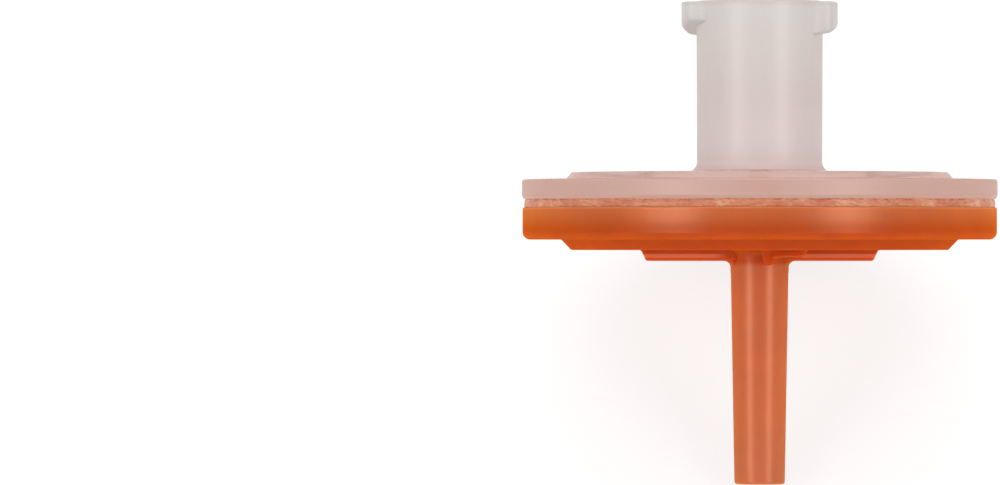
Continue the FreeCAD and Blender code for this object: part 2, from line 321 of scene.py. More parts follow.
# drain ribs under the membrane, from the outermost ring inwards
DRAIN_RADIUS = 7.80
DRAIN_CLEAR = 1.30
DRAIN_RIB_WIDTH = 0.45
DRAIN_PITCH = 1.00
DRAIN_CHANNEL = 0.70
drains = []
outer = DRAIN_RADIUS
while outer - DRAIN_RIB_WIDTH > DRAIN_CLEAR:
    arc, half = rib_section("drain_rib", outer, outer - DRAIN_RIB_WIDTH, FLOOR - 0.1, SEAT - FILM,
                            DRAIN_CHANNEL)
    sweep_rib(half, math.radians(4), 8)
    close(arc)
    drains += all_round(arc)
    outer -= DRAIN_PITCH

# the torn stub of the sprue, its side uneven and its end askew
GATE_X, GATE_Y = 0.52, -2.35
STUB_DROP = 0.82
STUB_LENGTH = STUB_DROP + 0.20   # its root is buried in the step
STUB_ROOT_RADIUS = 0.48
STUB_END_RADIUS = 0.27
STUB_END = STEP_BOTTOM - STUB_DROP
deselect_all()
bpy.ops.mesh.primitive_cone_add(vertices=28, radius1=STUB_END_RADIUS, radius2=STUB_ROOT_RADIUS,
                                depth=STUB_LENGTH,
                                location=(GATE_X, GATE_Y, STUB_END + STUB_LENGTH / 2))
stub = bpy.context.object
bpy.ops.object.transform_apply(location=True)
edit(stub)
for height, shift in ((-2.62, 0.03), (-2.86, -0.04), (-3.04, 0.03)):
    bpy.ops.mesh.select_all(action="SELECT")
    bpy.ops.mesh.bisect(plane_co=(0, 0, height), plane_no=(0.12, 0.05, 1))
    bpy.ops.transform.translate(value=(shift, shift / 2, 0))
pick(stub, "verts", lambda v: v.co.z < STUB_END + 0.065)
bpy.ops.transform.rotate(value=math.radians(14), orient_axis="Y",
                         center_override=(GATE_X, GATE_Y, STUB_END + 0.035))
bpy.ops.transform.translate(value=(0, 0, 0.05))
pick(stub, "edges", lambda e: all_below(e, STUB_END + 0.165))
bpy.ops.mesh.bevel(offset=0.05, segments=3, affect="EDGES")
close(stub)

# the low smear of plastic beside the stub, thinner and slanting at its far end
SMEAR_LENGTH = 1.9
SMEAR_HALF_WIDTH = 0.45
SMEAR_DROP = 0.38
smear = block("smear", (GATE_X, GATE_Y - SMEAR_HALF_WIDTH, STEP_BOTTOM - SMEAR_DROP),
              (GATE_X + SMEAR_LENGTH, GATE_Y + SMEAR_HALF_WIDTH, STEP_BOTTOM + 0.1))
pick(smear, "edges", lambda e: rise(e) > 0.1)
bpy.ops.mesh.bevel(offset=0.36, segments=6, affect="EDGES")
pick(smear, "verts", lambda v: v.co.z < STEP_BOTTOM and v.co.x > GATE_X + SMEAR_LENGTH / 2)
bpy.ops.transform.translate(value=(-0.16, 0, 0.05))
pick(smear, "edges", lambda e: all_below(e, STEP_BOTTOM))
bpy.ops.mesh.bevel(offset=0.07, segments=3, affect="EDGES")
close(smear)

for tool in (bar, foot, merge_all(drains), stub, smear):
    combine(outlet, tool, "UNION")
lay_down(outlet, sharp_angle=32)


def linear(code):
    """An sRGB hex colour as the linear RGBA that shaders take."""
    channels = [int(code[i:i + 2], 16) / 255 for i in (1, 3, 5)]
    return [c / 12.92 if c <= 0.04045 else ((c + 0.055) / 1.055) ** 2.4 for c in channels] + [1.0]


def grey(level):
    """A grey that stands for a plain number in a colour ramp."""
    return (level, level, level, 1.0)


def stops_by_height(low, high, marks):
    """Colour ramp stops between two heights, from (height in mm, colour) pairs."""
    return [((height - low) / (high - low), colour) for height, colour in marks]


def add_node(tree, kind, settings=None, links=None):
    """Adds a node to the tree, sets its properties and inputs, and links (node, output) to inputs.
    A colour ramp takes its stops as (position, colour) pairs."""
    node = tree.nodes.new(kind)
    for key, value in (settings or {}).items():
        if key == "stops":
            elements = node.color_ramp.elements
            elements[0].position, elements[0].color = value[0]
            elements[1].position, elements[1].color = value[-1]
            for position, color in value[1:-1]:
                elements.new(position).color = color
        elif isinstance(key, int) or key in node.inputs:
            node.inputs[key].default_value = value
        else:
            setattr(node, key, value)
    for key, (source, output) in (links or {}).items():
        tree.links.new(source.outputs[output], node.inputs[key])
    return node


def new_material(name):
    """An empty node material with its output node."""
    material = bpy.data.materials.new(name)
    material.use_nodes = True
    material.node_tree.nodes.clear()
    return material, material.node_tree, add_node(material.node_tree, "ShaderNodeOutputMaterial")


def filter_coordinates(tree):
    """Object coordinates as millimetres in the filter's own upright frame."""
    place = add_node(tree, "ShaderNodeTexCoord")
    upright = Matrix.Rotation(-lean, 3, "X") @ seam_centre
    return add_node(tree, "ShaderNodeMapping", {
        "Location": -upright / MM,
        "Rotation": Euler((-lean, 0, 0)),
        "Scale": (1 / MM, 1 / MM, 1 / MM),
    }, {"Vector": (place, "Object")})


def place_in_plan(tree, place):
    """The place seen along the axis, and its distance from the axis."""
    in_plan = add_node(tree, "ShaderNodeVectorMath", {"operation": "MULTIPLY", 1: (1.0, 1.0, 0.0)},
                       {0: (place, "Vector")})
    return in_plan, add_node(tree, "ShaderNodeVectorMath", {"operation": "LENGTH"}, {0: (in_plan, "Vector")})


TIP_SHINE = 0.064
SPOUT_SHINE = 0.082
STEP_SHINE = 0.040


def coloured_polypropylene():
    """Orange masterbatch polypropylene, moulded satin. Light goes a millimetre or so into it, so
    that thin edges and the spout look paler than the thick rim."""
    material, tree, output = new_material("polypropylene_moulded_orange")
    place = filter_coordinates(tree)
    parts = add_node(tree, "ShaderNodeSeparateXYZ", links={"Vector": (place, "Vector")})
    height = add_node(tree, "ShaderNodeMapRange", {"From Min": SPOUT_TIP, "From Max": 0.0},
                      {"Value": (parts, "Z")})
    # from the spout's tip up past the bar, the step and the rim to the seam
    tint = add_node(tree, "ShaderNodeValToRGB", {"stops": stops_by_height(SPOUT_TIP, 0.0, [
        (SPOUT_TIP, linear("#C26A42")),
        (-9.835, linear("#CC6A3C")),
        (-3.161, linear("#CA6430")),
        # painted shade: the spout's root and the bar are painted a deeper orange, for the shade under the
        # step
        (-2.950, linear("#CA500E")),
        (-2.417, linear("#CA500E")),
        (-2.304, linear("#B84202")),
        (-1.897, linear("#B84202")),
        # painted light and shade: the rim is painted darker towards its foot and lighter towards its top, for
        # the soft boxes' highlight that fades down it
        (-1.686, linear("#BC4A0A")),
        (-1.405, linear("#B24200")),
        (-0.983, linear("#B64802")),
        (-0.590, linear("#B85214")),
        (-0.337, linear("#BC5820")),
        (-0.225, linear("#C46A40")),
        (-0.084, linear("#C46A40")),
        (0.0, linear("#D47440")),
    ])}, {"Fac": (height, "Result")})
    # a painted highlight: a paler line along the bar's sides, away from the spout, standing in for a soft
    # box's reflection on the bar
    above = add_node(tree, "ShaderNodeMath", {"operation": "SUBTRACT", 1: BAR_HIGHLIGHT_HEIGHT}, {0: (parts, "Z")})
    above = add_node(tree, "ShaderNodeMath", {"operation": "ABSOLUTE"}, {0: (above, "Value")})
    on_highlight = add_node(tree, "ShaderNodeMapRange", {
        "From Min": 0.06,
        "From Max": 0.13,
        "To Min": 1.0,
        "To Max": 0.0,
    }, {"Value": (above, "Value")})
    _, radius = place_in_plan(tree, place)
    past_spout = add_node(tree, "ShaderNodeMapRange", {"From Min": 1.8, "From Max": 2.4},
                          {"Value": (radius, "Value")})
    aside = add_node(tree, "ShaderNodeMath", {"operation": "ABSOLUTE"}, {0: (parts, "Y")})
    on_bar = add_node(tree, "ShaderNodeMath", {"operation": "LESS_THAN", 1: BAR_HALF_WIDTH + 0.1},
                      {0: (aside, "Value")})
    line = add_node(tree, "ShaderNodeMath", {"operation": "MULTIPLY"},
                    {0: (on_highlight, "Result"), 1: (past_spout, "Result")})
    line = add_node(tree, "ShaderNodeMath", {"operation": "MULTIPLY"},
                    {0: (line, "Value"), 1: (on_bar, "Value")})
    tint = add_node(tree, "ShaderNodeMix", {"data_type": "RGBA", 7: linear("#E4845A")},
                    {0: (line, "Value"), 6: (tint, "Color")})
    # the torn stub and its smear, in front of the spout, are a shade darker and too rough to shine
    in_front = add_node(tree, "ShaderNodeMath", {"operation": "LESS_THAN", 1: GATE_Y + STUB_ROOT_RADIUS},
                        {0: (parts, "Y")})
    below_step = add_node(tree, "ShaderNodeMath", {"operation": "LESS_THAN", 1: STEP_BOTTOM - 0.015},
                          {0: (parts, "Z")})
    torn = add_node(tree, "ShaderNodeMath", {"operation": "MULTIPLY"},
                    {0: (in_front, "Value"), 1: (below_step, "Value")})
    tint = add_node(tree, "ShaderNodeMix", {"data_type": "RGBA", 7: linear("#C05220")},
                    {0: (torn, "Value"), 6: (tint, 2)})
    # flow marks from the moulding, about two millimetres across and a few percent lighter or darker
    flow = add_node(tree, "ShaderNodeTexNoise", {"Scale": 0.55, "Detail": 3.0, "Roughness": 0.5},
                    {"Vector": (place, "Vector")})
    shade = add_node(tree, "ShaderNodeMapRange", {
        "From Min": 0.3,
        "From Max": 0.7,
        "To Min": 0.94,
        "To Max": 1.06,
    }, {"Value": (flow, "Fac")})
    colour = add_node(tree, "ShaderNodeVectorMath", {"operation": "SCALE"},
                      {"Vector": (tint, 2), "Scale": (shade, "Result")})
    # the mould's grain is about 0.03 mm, and is drawn at 0.11 mm so that it shows
    grain = add_node(tree, "ShaderNodeTexNoise", {"Scale": 9.0, "Detail": 4.0}, {"Vector": (place, "Vector")})
    dull = add_node(tree, "ShaderNodeMapRange", {"To Min": 0.26, "To Max": 0.36}, {"Value": (grain, "Fac")})
    skin = add_node(tree, "ShaderNodeBump", {"Strength": 0.35, "Distance": 0.004 * MM},
                    {"Height": (grain, "Fac")})
    pigment = add_node(tree, "ShaderNodeBsdfPrincipled", {
        "IOR": 1.49,
        "Specular IOR Level": 0.0,
        "Subsurface Weight": 1.0,
        "Subsurface Radius": (1.0, 0.35, 0.12),
        "Subsurface Scale": 1.0 * MM,
    }, {"Base Color": (colour, "Vector"), "Roughness": (dull, "Result"), "Normal": (skin, "Normal")})
    satin = add_node(tree, "ShaderNodeBsdfGlossy", {"Color": linear("#FFC3A2")},
                     {"Roughness": (dull, "Result"), "Normal": (skin, "Normal")})
    # the spout and the rim's upper half are polished, the steps below duller, and the seam, where
    # the other housing is melted on, has no surface to shine
    shine = add_node(tree, "ShaderNodeValToRGB", {"stops": stops_by_height(SPOUT_TIP, 0.0, [
        (SPOUT_TIP, grey(TIP_SHINE)),
        (-3.161, grey(SPOUT_SHINE)),
        (-2.950, grey(STEP_SHINE)),
        (-1.194, grey(STEP_SHINE)),
        (-0.773, grey(SPOUT_SHINE)),
        (-0.126, grey(SPOUT_SHINE)),
        (-0.056, grey(0.0)),
    ])}, {"Fac": (height, "Result")})
    shine = add_node(tree, "ShaderNodeMath", {"operation": "SUBTRACT", "use_clamp": True},
                     {0: (shine, "Color"), 1: (torn, "Value")})
    surface = add_node(tree, "ShaderNodeMixShader",
                       links={"Fac": (shine, "Value"), 1: (pigment, "BSDF"), 2: (satin, "BSDF")})
    tree.links.new(surface.outputs["Shader"], output.inputs["Surface"])
    return material


outlet.data.materials.clear()
outlet.data.materials.append(coloured_polypropylene())
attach(outlet, "root")
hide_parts("outlet_housing")

# ============================================================ membrane
# A white disc of porous polymer, 0.16 mm thick, cut from a sheet and laid in the outlet
# housing's pocket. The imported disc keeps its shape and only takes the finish.


def membrane_sheet():
    """Microporous polymer sheet: matte white with a very fine felt-like grain, painted warm, painted light
    for the orange light that comes through it from behind. Where the housings clamp it, it is crushed, and it
    is painted more orange there in uneven blotches, painted light for more of the orange showing through."""
    material, tree, output = new_material("membrane_microporous_white")
    place = filter_coordinates(tree)
    _, radius = place_in_plan(tree, place)
    # blotches one to two millimetres across
    cloud = add_node(tree, "ShaderNodeTexNoise", {"Scale": 0.75, "Detail": 3.0, "Roughness": 0.6},
                     {"Vector": (place, "Vector")})
    # painted light: the warm tint stands in for orange light from behind the sheet
    loose = add_node(tree, "ShaderNodeValToRGB",
                     {"stops": [(0.35, linear("#D6AEA2")), (0.65, linear("#DAB7AB"))]},
                     {"Fac": (cloud, "Fac")})
    # painted light: more orange where the sheet is clamped, for the orange showing through
    crushed = add_node(tree, "ShaderNodeValToRGB", {"stops": [
        (0.36, linear("#C47658")),
        (0.46, linear("#D2937A")),
        (0.58, linear("#DA9F87")),
        (0.70, linear("#DFAC98")),
    ]}, {"Fac": (cloud, "Fac")})
    clamped = add_node(tree, "ShaderNodeMapRange",
                       {"From Min": CHAMBER_RADIUS - 0.2, "From Max": CHAMBER_RADIUS + 0.4},
                       {"Value": (radius, "Value")})
    tint = add_node(tree, "ShaderNodeMix", {"data_type": "RGBA"},
                    {0: (clamped, "Result"), 6: (loose, "Color"), 7: (crushed, "Color")})
    # the pores are under a thousandth of a millimetre, and the felt is drawn at 0.07 mm so that it
    # shows
    fibre = add_node(tree, "ShaderNodeTexNoise", {"Scale": 14.0, "Detail": 5.0},
                     {"Vector": (place, "Vector")})
    felt = add_node(tree, "ShaderNodeBump", {"Strength": 0.5, "Distance": 0.01 * MM},
                    {"Height": (fibre, "Fac")})
    surface = add_node(tree, "ShaderNodeBsdfPrincipled", {"Roughness": 0.85, "Specular IOR Level": 0.2},
                       {"Base Color": (tint, 2), "Normal": (felt, "Normal")})
    tree.links.new(surface.outputs["BSDF"], output.inputs["Surface"])
    return material


membrane = frame["nodes"]["membrane"]
membrane.data.materials.clear()
membrane.data.materials.append(membrane_sheet())

# ============================================================ inlet housing
# The upper half: one moulding in natural, uncoloured polypropylene, with the female Luer-lock
# hub and its two lugs, a raised land, and rings of ribs inside that spread the flow.

FLANGE_RADIUS = 11.88
FLANGE_TOP = 1.19
FLANGE_UNDER = 0.36
LAND_RADIUS = 9.39
LAND_FOOT_RADIUS = 9.69
LAND_TOP = 1.55
HUB_RADIUS = 3.16
HUB_ROOT_RADIUS = 3.13
LUER_MOUTH_RADIUS = 2.135
LUER_FLOOR_RADIUS = 1.895
LUER_FLOOR = 2.105
FLOW_HOLE_RADIUS = 0.65
CEILING = 0.50
LIP_RADIUS = 11.27
WELD_RADIUS = 11.76
PRESSED = 0.02                   # sunk into its neighbours, so that light crosses with no air gap
lip_bottom = RIM_TOP - PRESSED - FILM

inlet = outline("inlet_moulding", [
    (LUER_MOUTH_RADIUS, HUB_END, 0.12, 5),
    (HUB_RADIUS, HUB_END, 0.12, 5),
    (HUB_ROOT_RADIUS, LAND_TOP, 0.52, 9),
    (LAND_RADIUS, LAND_TOP, 0.12, 4),
    (LAND_FOOT_RADIUS, FLANGE_TOP, 0.06, 3),
    (FLANGE_RADIUS, FLANGE_TOP, 0.135, 5),
    (FLANGE_RADIUS, FLANGE_UNDER, 0.10, 3),
    (WELD_RADIUS + 0.03, -RIM_TOP, 0, 0),
    (WELD_RADIUS - 0.06, -RIM_TOP, 0, 0),
    (WELD_RADIUS - 0.06, lip_bottom, 0, 0),
    (LIP_RADIUS, lip_bottom, 0, 0),
    (LIP_RADIUS, -PRESSED, 0, 0),
    (CHAMBER_RADIUS, -PRESSED, 0, 0),
    (CHAMBER_RADIUS - 0.16, 0.06, 0, 0),
    (CHAMBER_RADIUS - 0.20, CEILING, 0.12, 4),
    (FLOW_HOLE_RADIUS, CEILING, 0.15, 4),
    (FLOW_HOLE_RADIUS, LUER_FLOOR, 0.10, 4),
    (LUER_FLOOR_RADIUS, LUER_FLOOR, 0.15, 4),
])
turn(inlet)

# flow ribs: rings of arcs with round ends, parted by eight spokes, their lower face bevelled
RIB_RADIUS = 7.49
RIB_CLEAR = 3.30
RIB_WIDTH = 0.82
NARROWEST_RIB = 0.40
RIB_PITCH = 1.235
SPOKE = 0.80
RIB_LOW = 0.15
RIB_BEVEL = 0.16
RIB_BEVEL_HEIGHT = 0.06
RIB_ROUNDING = 0.46              # of a rib's width, at each corner of its ends

ribs = []
outer = RIB_RADIUS
while outer - NARROWEST_RIB > RIB_CLEAR:
    inner = max(outer - RIB_WIDTH, RIB_CLEAR)
    arc, half = rib_section("flow_rib", outer, inner, RIB_LOW + RIB_BEVEL_HEIGHT, CEILING + 0.1, SPOKE)
    rounding = RIB_ROUNDING * (outer - inner)
    sweep_rib(half, (rounding + 0.03) / inner, 8)
    ends = (half, SECTOR - half)
    pick(arc, "edges", lambda e: rise(e) > 0.1
         and min(abs(abs(math.atan2(e.verts[0].co.y, e.verts[0].co.x)) - a) for a in ends) < NEAR)
    bpy.ops.mesh.bevel(offset=rounding, segments=6, affect="EDGES", clamp_overlap=False)
    pick(arc, "faces", lambda f: f.normal.z < -0.9)
    bpy.ops.mesh.inset(thickness=RIB_BEVEL, depth=RIB_BEVEL_HEIGHT)
    close(arc)
    ribs.append(merge_all(all_round(arc)))
    outer -= RIB_PITCH

# one lug of the Luer lock on each side, its underside on the thread's slope
LUG_RADIUS = 3.91
LUG_HALF_WIDTH = 1.60
LUG_TOP = HUB_END - 0.05
LUG_UNDER = LUG_TOP - 1.265
LUG_LEAD = 5.0                   # of the thread that its underside follows
LUG_SLOPE = math.atan(LUG_LEAD / (2 * math.pi * LUG_RADIUS))
LUG_FALL = 0.10                  # the underside falls this steeply towards the hub
LUG_CORNER = 0.28
# a lug's side runs into the hub in a curve, given by distance from the axis and half width
LUG_ROOT = ((3.143, 1.60), (2.961, 1.621), (2.789, 1.683), (2.635, 1.782), (2.507, 1.914), (2.35, 1.93))
lugs = []
for side in (1, -1):
    lug = block("lug", (LUG_ROOT[-1][0], -LUG_HALF_WIDTH, LUG_UNDER - 1.0),
                (LUG_RADIUS + 0.2, LUG_HALF_WIDTH, LUG_TOP))
    # it widens towards the hub along its root's curve, and is cut along its underside
    for reach, _ in LUG_ROOT[:-1]:
        bpy.ops.mesh.select_all(action="SELECT")
        bpy.ops.mesh.bisect(plane_co=(reach, 0, 0), plane_no=(1, 0, 0))
    for reach, half_width in LUG_ROOT:
        pick(lug, "verts", lambda v: abs(v.co.x - reach) < NEAR)
        bpy.ops.transform.resize(value=(1, half_width / LUG_HALF_WIDTH, 1), center_override=(reach, 0, 0))
    bpy.ops.mesh.select_all(action="SELECT")
    bpy.ops.mesh.bisect(plane_co=(LUG_RADIUS, 0, LUG_UNDER), use_fill=True, clear_inner=True,
                        plane_no=(-LUG_FALL, -math.sin(LUG_SLOPE), math.cos(LUG_SLOPE)))
    close(lug)
    # its outer face follows a circle round the axis
    deselect_all()
    bpy.ops.mesh.primitive_cylinder_add(vertices=48, radius=LUG_RADIUS, depth=6, location=(0, 0, LUG_TOP),
                                        rotation=(0, 0, math.radians(3.75)))
    combine(lug, bpy.context.object, "INTERSECT")
    # its two outer corners are rounded, then the rims of its top and its underside
    edit(lug)
    pick(lug, "edges", lambda e: rise(e) > 0.4 and min(v.co.x for v in e.verts) > 3.3
         and min(abs(v.co.y) for v in e.verts) > LUG_HALF_WIDTH - 0.01)
    bpy.ops.mesh.bevel(offset=LUG_CORNER, segments=5, affect="EDGES", clamp_overlap=False)
    for facing, roundness, segments in ((1, 0.11, 4), (-1, 0.22, 6)):
        pick(lug, "edges", lambda e: sum(f.normal.z * facing > 0.85 for f in e.link_faces) == 1)
        bpy.ops.mesh.bevel(offset=roundness, segments=segments, affect="EDGES", clamp_overlap=False)
    close(lug)
    if side < 0:
        lug.data.transform(Matrix.Rotation(math.pi, 4, "Z"))
    lugs.append(lug)

# the gate's round recess on the land, with the nub of the sprue in it
GATE_OFFSET = 7.55
GATE_RADIUS = 1.44
deselect_all()
bpy.ops.mesh.primitive_cylinder_add(vertices=72, radius=GATE_RADIUS, depth=0.4,
                                    location=(0, -GATE_OFFSET, LAND_TOP + 0.1))
recess = bpy.context.object
bpy.ops.object.transform_apply(location=True)
edit(recess)
pick(recess, "edges", lambda e: all_below(e, LAND_TOP))
bpy.ops.mesh.bevel(offset=0.04, segments=3, affect="EDGES")
close(recess)
deselect_all()
bpy.ops.mesh.primitive_cone_add(vertices=24, radius1=0.28, radius2=0.20, depth=0.16,
                                location=(0, -GATE_OFFSET, LAND_TOP - 0.10))
nub = bpy.context.object
bpy.ops.object.transform_apply(location=True)
edit(nub)
pick(nub, "verts", lambda v: v.co.z > LAND_TOP - 0.05)
bpy.ops.transform.rotate(value=math.radians(5), orient_axis="X",
                         center_override=(0, -GATE_OFFSET, LAND_TOP - 0.04))
pick(nub, "edges", lambda e: all(v.co.z > LAND_TOP - 0.06 for v in e.verts))
bpy.ops.mesh.bevel(offset=0.03, segments=3, affect="EDGES")
close(nub)

combine(inlet, recess, "DIFFERENCE")
for tool in ribs + lugs + [nub]:
    combine(inlet, tool, "UNION")
lay_down(inlet, sharp_angle=32)

# the bore begins between these two distances from the axis
BORE_SKIN = (LUER_MOUTH_RADIUS + 0.165, LUER_MOUTH_RADIUS + 0.015)
MOST_MILK = 0.90


def natural_polypropylene():
    """Uncoloured polypropylene, moulded. Thin flat walls are nearly clear, so that the orange
    housing and the ribs show through them. The thick hub, the rim and every upright wall, where
    light goes a long way through the plastic, are milky. A long way through gives a warm tint."""
    material, tree, output = new_material("polypropylene_moulded_natural")
    place = filter_coordinates(tree)
    parts = add_node(tree, "ShaderNodeSeparateXYZ", links={"Vector": (place, "Vector")})
    in_plan, radius = place_in_plan(tree, place)
    level = add_node(tree, "ShaderNodeMapRange", {"From Min": 0.0, "From Max": HUB_END},
                     {"Value": (parts, "Z")})
    # from the seam up past the flange and the land to the hub's mouth. The peach of the flange and the land
    # and the pink at the hub's foot are painted light, for the orange light that reaches them from the outlet
    # housing
    outer_tint = add_node(tree, "ShaderNodeValToRGB", {"stops": stops_by_height(0.0, HUB_END, [
        (0.0, linear("#DCB5A7")),
        (1.152, linear("#D7BAAE")),
        (1.253, linear("#D7C1BB")),
        (1.546, linear("#D7C1BB")),
        (1.667, linear("#E1CEC9")),
        # painted light: the hub's lower body is painted whitest here, to lift the shade that falls on it
        (2.001, linear("#F3ECEC")),
        (2.728, linear("#EEF1F3")),
        (5.053, linear("#E4E5E5")),
        (9.802, linear("#DFE1E0")),
        # painted shade: the hub's mouth is painted darker, for the dark line along its top edge
        (HUB_END, linear("#D2CAC6")),
    ])}, {"Fac": (level, "Result")})
    # the ribs and the chamber's wall are nearly white, the hub's bore a warm white, warmer below
    low = add_node(tree, "ShaderNodeMath", {"operation": "LESS_THAN", 1: CEILING + 0.3}, {0: (parts, "Z")})
    inside = add_node(tree, "ShaderNodeMath", {"operation": "LESS_THAN", 1: CHAMBER_RADIUS + 0.7},
                      {0: (radius, "Value")})
    ribbed = add_node(tree, "ShaderNodeMath", {"operation": "MULTIPLY"},
                      {0: (low, "Value"), 1: (inside, "Value")})
    tint = add_node(tree, "ShaderNodeMix", {"data_type": "RGBA", 7: linear("#FFF0EA")},
                    {0: (ribbed, "Value"), 6: (outer_tint, "Color")})
    in_bore = add_node(tree, "ShaderNodeMapRange", {"From Min": BORE_SKIN[0], "From Max": BORE_SKIN[1]},
                       {"Value": (radius, "Value")})
    bore_tint = add_node(tree, "ShaderNodeValToRGB", {"stops": stops_by_height(0.0, HUB_END, [
        (2.122, linear("#FEE3DA")),
        (9.094, linear("#FFF1EA")),
    ])}, {"Fac": (level, "Result")})
    tint = add_node(tree, "ShaderNodeMix", {"data_type": "RGBA"},
                    {0: (in_bore, "Result"), 6: (tint, 2), 7: (bore_tint, "Color")})
    # how far each face is from flat, which finds the upright walls of flange, land, hub and ribs
    geometry = add_node(tree, "ShaderNodeNewGeometry")
    along_axis = add_node(tree, "ShaderNodeVectorMath", {"operation": "DOT_PRODUCT", 1: filter_axis},
                          {0: (geometry, "True Normal")})
    flatness = add_node(tree, "ShaderNodeMath", {"operation": "ABSOLUTE"}, {0: (along_axis, "Value")})
    wall_milk = add_node(tree, "ShaderNodeMapRange", {
        "From Min": 0.97,
        "From Max": 0.55,
        "To Min": 0.0,
        "To Max": 0.80,
    }, {"Value": (flatness, "Value")})
    hub_milk = add_node(tree, "ShaderNodeMapRange", {
        "From Min": LAND_TOP + 0.01,
        "From Max": LAND_TOP + 0.13,
        "To Min": 0.0,
        "To Max": 0.85,
    }, {"Value": (parts, "Z")})
    # most on the bevels round the chamber's foot and round each rib's lower face, less on that face
    rib_milk = add_node(tree, "ShaderNodeValToRGB", {"stops": [
        (0.000, grey(0.0)),
        (0.004, grey(MOST_MILK)),
        (0.062, grey(MOST_MILK)),
        (0.066, grey(0.0)),
        (0.146, grey(0.0)),
        (0.150, grey(0.42)),
        (0.155, grey(MOST_MILK)),
        (0.210, grey(MOST_MILK)),
        (0.215, grey(0.0)),
    ]}, {"Fac": (parts, "Z")})
    # specks of melt a quarter of a millimetre across, thicker towards the rim
    speck = add_node(tree, "ShaderNodeTexNoise", {"Scale": 4.0, "Detail": 3.0, "Roughness": 0.6},
                     {"Vector": (place, "Vector")})
    speckled = add_node(tree, "ShaderNodeMapRange", {
        "From Min": 0.4,
        "From Max": 0.62,
        "To Min": 0.5,
        "To Max": 1.0,
    }, {"Value": (speck, "Fac")})
    rim_milk = add_node(tree, "ShaderNodeMapRange", {
        "From Min": FLANGE_RADIUS - 0.38,
        "From Max": FLANGE_RADIUS - 0.03,
        "To Min": 0.0,
        "To Max": 0.5,
    }, {"Value": (radius, "Value")})
    rim_milk = add_node(tree, "ShaderNodeMath", {"operation": "MULTIPLY"},
                        {0: (rim_milk, "Result"), 1: (speckled, "Result")})
    # the edge of the gate's recess, whitened and uneven where the sprue was twisted off
    from_gate = add_node(tree, "ShaderNodeVectorMath", {"operation": "DISTANCE", 1: (0.0, -GATE_OFFSET, 0.0)},
                         {0: (in_plan, "Vector")})
    off_edge = add_node(tree, "ShaderNodeMath", {"operation": "SUBTRACT", 1: GATE_RADIUS},
                        {0: (from_gate, "Value")})
    off_edge = add_node(tree, "ShaderNodeMath", {"operation": "ABSOLUTE"}, {0: (off_edge, "Value")})
    gate_ring = add_node(tree, "ShaderNodeMapRange", {
        "From Min": 0.05,
        "From Max": 0.13,
        "To Min": MOST_MILK,
        "To Max": 0.0,
    }, {"Value": (off_edge, "Value")})
    gate_ring = add_node(tree, "ShaderNodeMath", {"operation": "MULTIPLY"},
                         {0: (gate_ring, "Result"), 1: (speckled, "Result")})
    tint = add_node(tree, "ShaderNodeMix", {"data_type": "RGBA", 7: linear("#F4E6E0")},
                    {0: (gate_ring, "Value"), 6: (tint, 2)})
    milk_share = wall_milk
    for share in (hub_milk, rib_milk, rim_milk, gate_ring):
        milk_share = add_node(tree, "ShaderNodeMath", {"operation": "MAXIMUM"},
                              {0: (milk_share, 0), 1: (share, 0)})
    # the polished mould leaves waves about 0.14 mm across
    grain = add_node(tree, "ShaderNodeTexNoise", {"Scale": 7.0, "Detail": 4.0}, {"Vector": (place, "Vector")})
    dull = add_node(tree, "ShaderNodeMapRange", {"To Min": 0.10, "To Max": 0.20}, {"Value": (grain, "Fac")})
    skin = add_node(tree, "ShaderNodeBump", {"Strength": 0.3, "Distance": 0.004 * MM},
                    {"Height": (grain, "Fac")})
    clear = add_node(tree, "ShaderNodeBsdfPrincipled", {
        "Base Color": linear("#FBF8F7"),
        "IOR": 1.49,
        "Specular Tint": linear("#B08878"),
        "Transmission Weight": 1.0,
    }, {"Roughness": (dull, "Result"), "Normal": (skin, "Normal")})
    haze = add_node(tree, "ShaderNodeBsdfDiffuse", links={"Color": (tint, 2), "Normal": (skin, "Normal")})
    glow = add_node(tree, "ShaderNodeBsdfTranslucent", links={"Color": (tint, 2), "Normal": (skin, "Normal")})
    # the bore's thin-skinned wall lets more light through than the outside does
    through = add_node(tree, "ShaderNodeMapRange", {
        "From Min": BORE_SKIN[0],
        "From Max": BORE_SKIN[1],
        "To Min": 0.38,
        "To Max": 0.62,
    }, {"Value": (radius, "Value")})
    haze = add_node(tree, "ShaderNodeMixShader",
                    links={0: (through, "Result"), 1: (haze, "BSDF"), 2: (glow, "BSDF")})
    satin = add_node(tree, "ShaderNodeBsdfGlossy", {"Color": linear("#FFF2EC"), "Roughness": 0.38},
                     {"Normal": (skin, "Normal")})
    milk = add_node(tree, "ShaderNodeMixShader", {0: 0.045}, {1: (haze, "Shader"), 2: (satin, "BSDF")})
    body = add_node(tree, "ShaderNodeMixShader",
                    links={"Fac": (milk_share, 0), 1: (clear, "BSDF"), 2: (milk, "Shader")})
    # lamplight passes straight through the clear walls to what lies under them
    lamps_through = add_node(tree, "ShaderNodeBsdfTransparent", {"Color": linear("#F8F4F2")})
    ray = add_node(tree, "ShaderNodeLightPath")
    open_share = add_node(tree, "ShaderNodeMath", {"operation": "SUBTRACT", 0: 1.0}, {1: (milk_share, 0)})
    part = add_node(tree, "ShaderNodeMath", {"operation": "MULTIPLY"},
                    {0: (ray, "Is Shadow Ray"), 1: (open_share, "Value")})
    mixed = add_node(tree, "ShaderNodeMixShader",
                     links={"Fac": (part, "Value"), 1: (body, "Shader"), 2: (lamps_through, "BSDF")})
    tree.links.new(mixed.outputs["Shader"], output.inputs["Surface"])
    depth = add_node(tree, "ShaderNodeVolumeAbsorption", {"Color": linear("#DFA592"), "Density": 20.0})
    tree.links.new(depth.outputs["Volume"], output.inputs["Volume"])
    return material


inlet.data.materials.clear()
inlet.data.materials.append(natural_polypropylene())
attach(inlet, "root")
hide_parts("inlet_housing")

